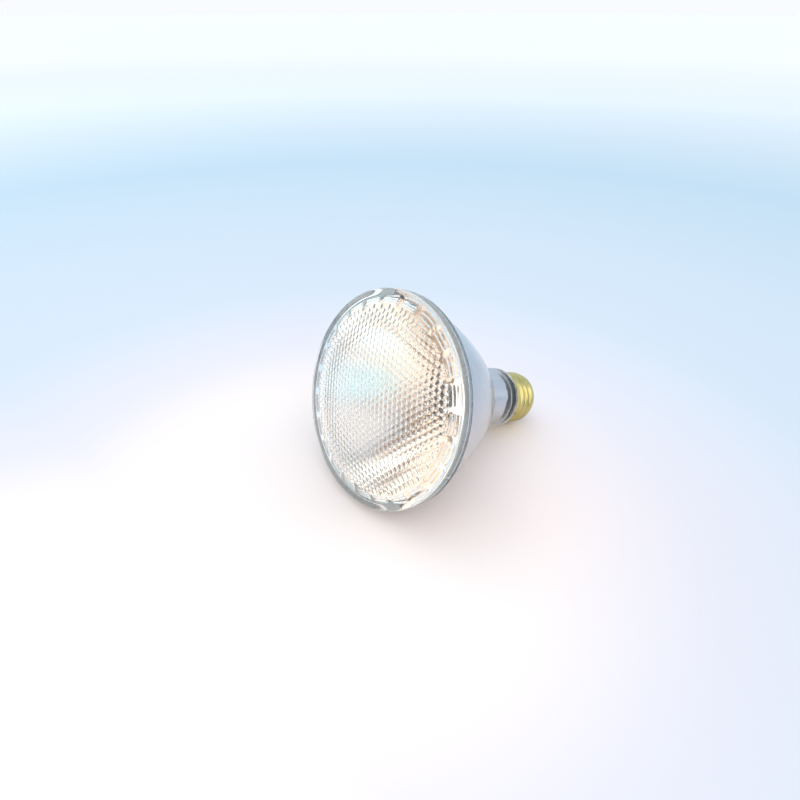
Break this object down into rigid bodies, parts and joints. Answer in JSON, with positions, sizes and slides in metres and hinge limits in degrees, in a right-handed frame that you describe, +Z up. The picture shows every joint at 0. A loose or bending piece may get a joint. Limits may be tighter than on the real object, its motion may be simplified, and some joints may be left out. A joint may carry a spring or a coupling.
{
  "type": "halogen reflector lamp",
  "caption": "Halogen reflector lamp with a prismatic glass lens, a paraboloid mirror, a long glass neck and a brass screw base, lying at rest on its rim and thread.",
  "frame": {"origin": "on the surface that the lamp lies on, under the middle of its bounding box", "axes": "+Z up, +X towards the lens: the lamp's axis lies in the XZ plane and rises 21.1 degrees towards the lens"},
  "size_m": [0.1166, 0.0952, 0.091],
  "materials": {
    "lens_glass": "clear pressed glass, smooth outside, prisms inside",
    "seal_compound": "matt sealing compound",
    "mirror_glass": "pressed glass with an aluminium film on its inner face, satin from outside",
    "quartz": "clear fused quartz",
    "tungsten": "drawn tungsten wire",
    "molybdenum": "thin rolled molybdenum",
    "nickel": "nickel-plated steel wire and cups",
    "copper_wire": "bare copper wire",
    "cement": "hard basing cement",
    "brass_shell": "bright rolled brass",
    "base_glass": "black pressed glass insulator",
    "contact_brass": "stamped brass",
    "solder": "dull tin solder"
  },
  "bodies": {
    "root": {"front_lens": "lens_glass", "lens_seal": "seal_compound", "reflector_body": "mirror_glass", "capsule_envelope": "quartz", "filament": "tungsten", "short_lead": "tungsten", "long_lead": "tungsten", "moly_foil_a": "molybdenum", "moly_foil_b": "molybdenum", "outer_pin_a": "nickel", "outer_pin_b": "nickel", "mount_rod_a": "nickel", "mount_rod_b": "nickel", "ferrule_a": "nickel", "ferrule_b": "nickel", "line_lead": "copper_wire", "shell_lead": "copper_wire", "basing_cement": "cement", "screw_shell": "brass_shell", "base_insulator": "base_glass", "centre_contact": "contact_brass", "centre_solder": "solder"}
  },
  "joints": []
}
